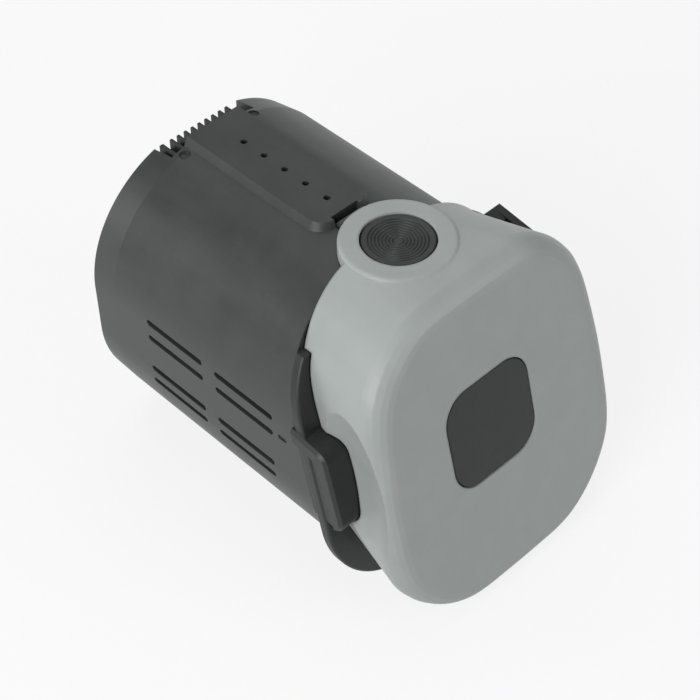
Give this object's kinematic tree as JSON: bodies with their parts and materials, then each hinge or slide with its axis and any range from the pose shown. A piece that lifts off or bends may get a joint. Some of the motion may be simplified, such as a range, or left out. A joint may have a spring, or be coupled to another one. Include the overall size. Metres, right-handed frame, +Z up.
{
  "type": "vacuum cleaner battery",
  "caption": "Slide-in battery pack of a cordless vacuum cleaner: round sleeve, light end cap with window, sprung release button with catch, and rear terminals.",
  "frame": {"origin": "on the resting surface, below the middle of the pack", "axes": "+X to the right seen from the end cap, +Y from the end cap to the terminals, +Z up"},
  "size_m": [0.0818, 0.1163, 0.0876],
  "materials": {
    "sleeve_plastic": "fine moulded grain, satin",
    "cap_plastic": "smooth satin moulding",
    "window_plastic": "smoked, polished",
    "button_plastic": "fine ring grooves, satin",
    "block_plastic": "satin",
    "inner_plastic": "plain moulding",
    "adhesive": "pressed tape",
    "light_guide_plastic": "milky diffuser",
    "board_laminate": "solder mask",
    "led_resin": "clear resin over phosphor",
    "screw_steel": "zinc plated",
    "spring_steel": "drawn wire",
    "nickel": "nickel plated strip",
    "insulator_card": "pressed card",
    "foam": "closed-cell foam",
    "component_black": "moulded epoxy",
    "connector_plastic": "natural nylon",
    "cell_wrap": "shrink wrap",
    "lead_black": "silicone insulation",
    "lead_red": "silicone insulation"
  },
  "bodies": {
    "housing": {"board_chips": "component_black", "board_connectors": "connector_plastic", "board_screws": "screw_steel", "board_transistors": "component_black", "body_shell": "sleeve_plastic", "cell_1": "cell_wrap", "cell_2": "cell_wrap", "cell_3": "cell_wrap", "cell_4": "cell_wrap", "cell_5": "cell_wrap", "cell_6": "cell_wrap", "cell_7": "cell_wrap", "cell_holder_front": "inner_plastic", "cell_holder_rear": "inner_plastic", "charge_window": "window_plastic", "control_board": "board_laminate", "end_cap": "cap_plastic", "foam_pad": "foam", "frame_screws": "screw_steel", "front_frame": "sleeve_plastic", "insulator_front": "insulator_card", "insulator_rear": "insulator_card", "latch_pin": "screw_steel", "led_board": "board_laminate", "led_board_screws": "screw_steel", "led_cable": "lead_black", "leds": "led_resin", "light_guide": "light_guide_plastic", "nickel_strips_front": "nickel", "nickel_strips_rear": "nickel", "power_contacts": "nickel", "power_lead_negative": "lead_black", "power_lead_positive": "lead_red", "signal_contacts": "nickel", "terminal_block": "block_plastic", "thermistor": "component_black", "window_adhesive": "adhesive"},
    "button": {"release_button": "button_plastic", "button_spring": "spring_steel"},
    "latch": {"latch_lever": "inner_plastic"}
  },
  "joints": [
    {"name": "button_press", "type": "slide", "parent": "housing", "child": "button", "axis": [0, 0, -1], "range_m": [0, 0.0022], "stiffness_N_per_m": 600, "springref_m": -0.001, "deforming": ["button_spring"]},
    {"name": "latch_tilt", "type": "hinge", "parent": "housing", "child": "latch", "pos_m": [0, -0.03, 0.0761], "axis": [-1, 0, 0], "range_deg": [0, 8.1]}
  ],
  "couplings": [
    {"joint": "latch_tilt", "follows": "button_press", "rad_per_m": 63.694}
  ]
}
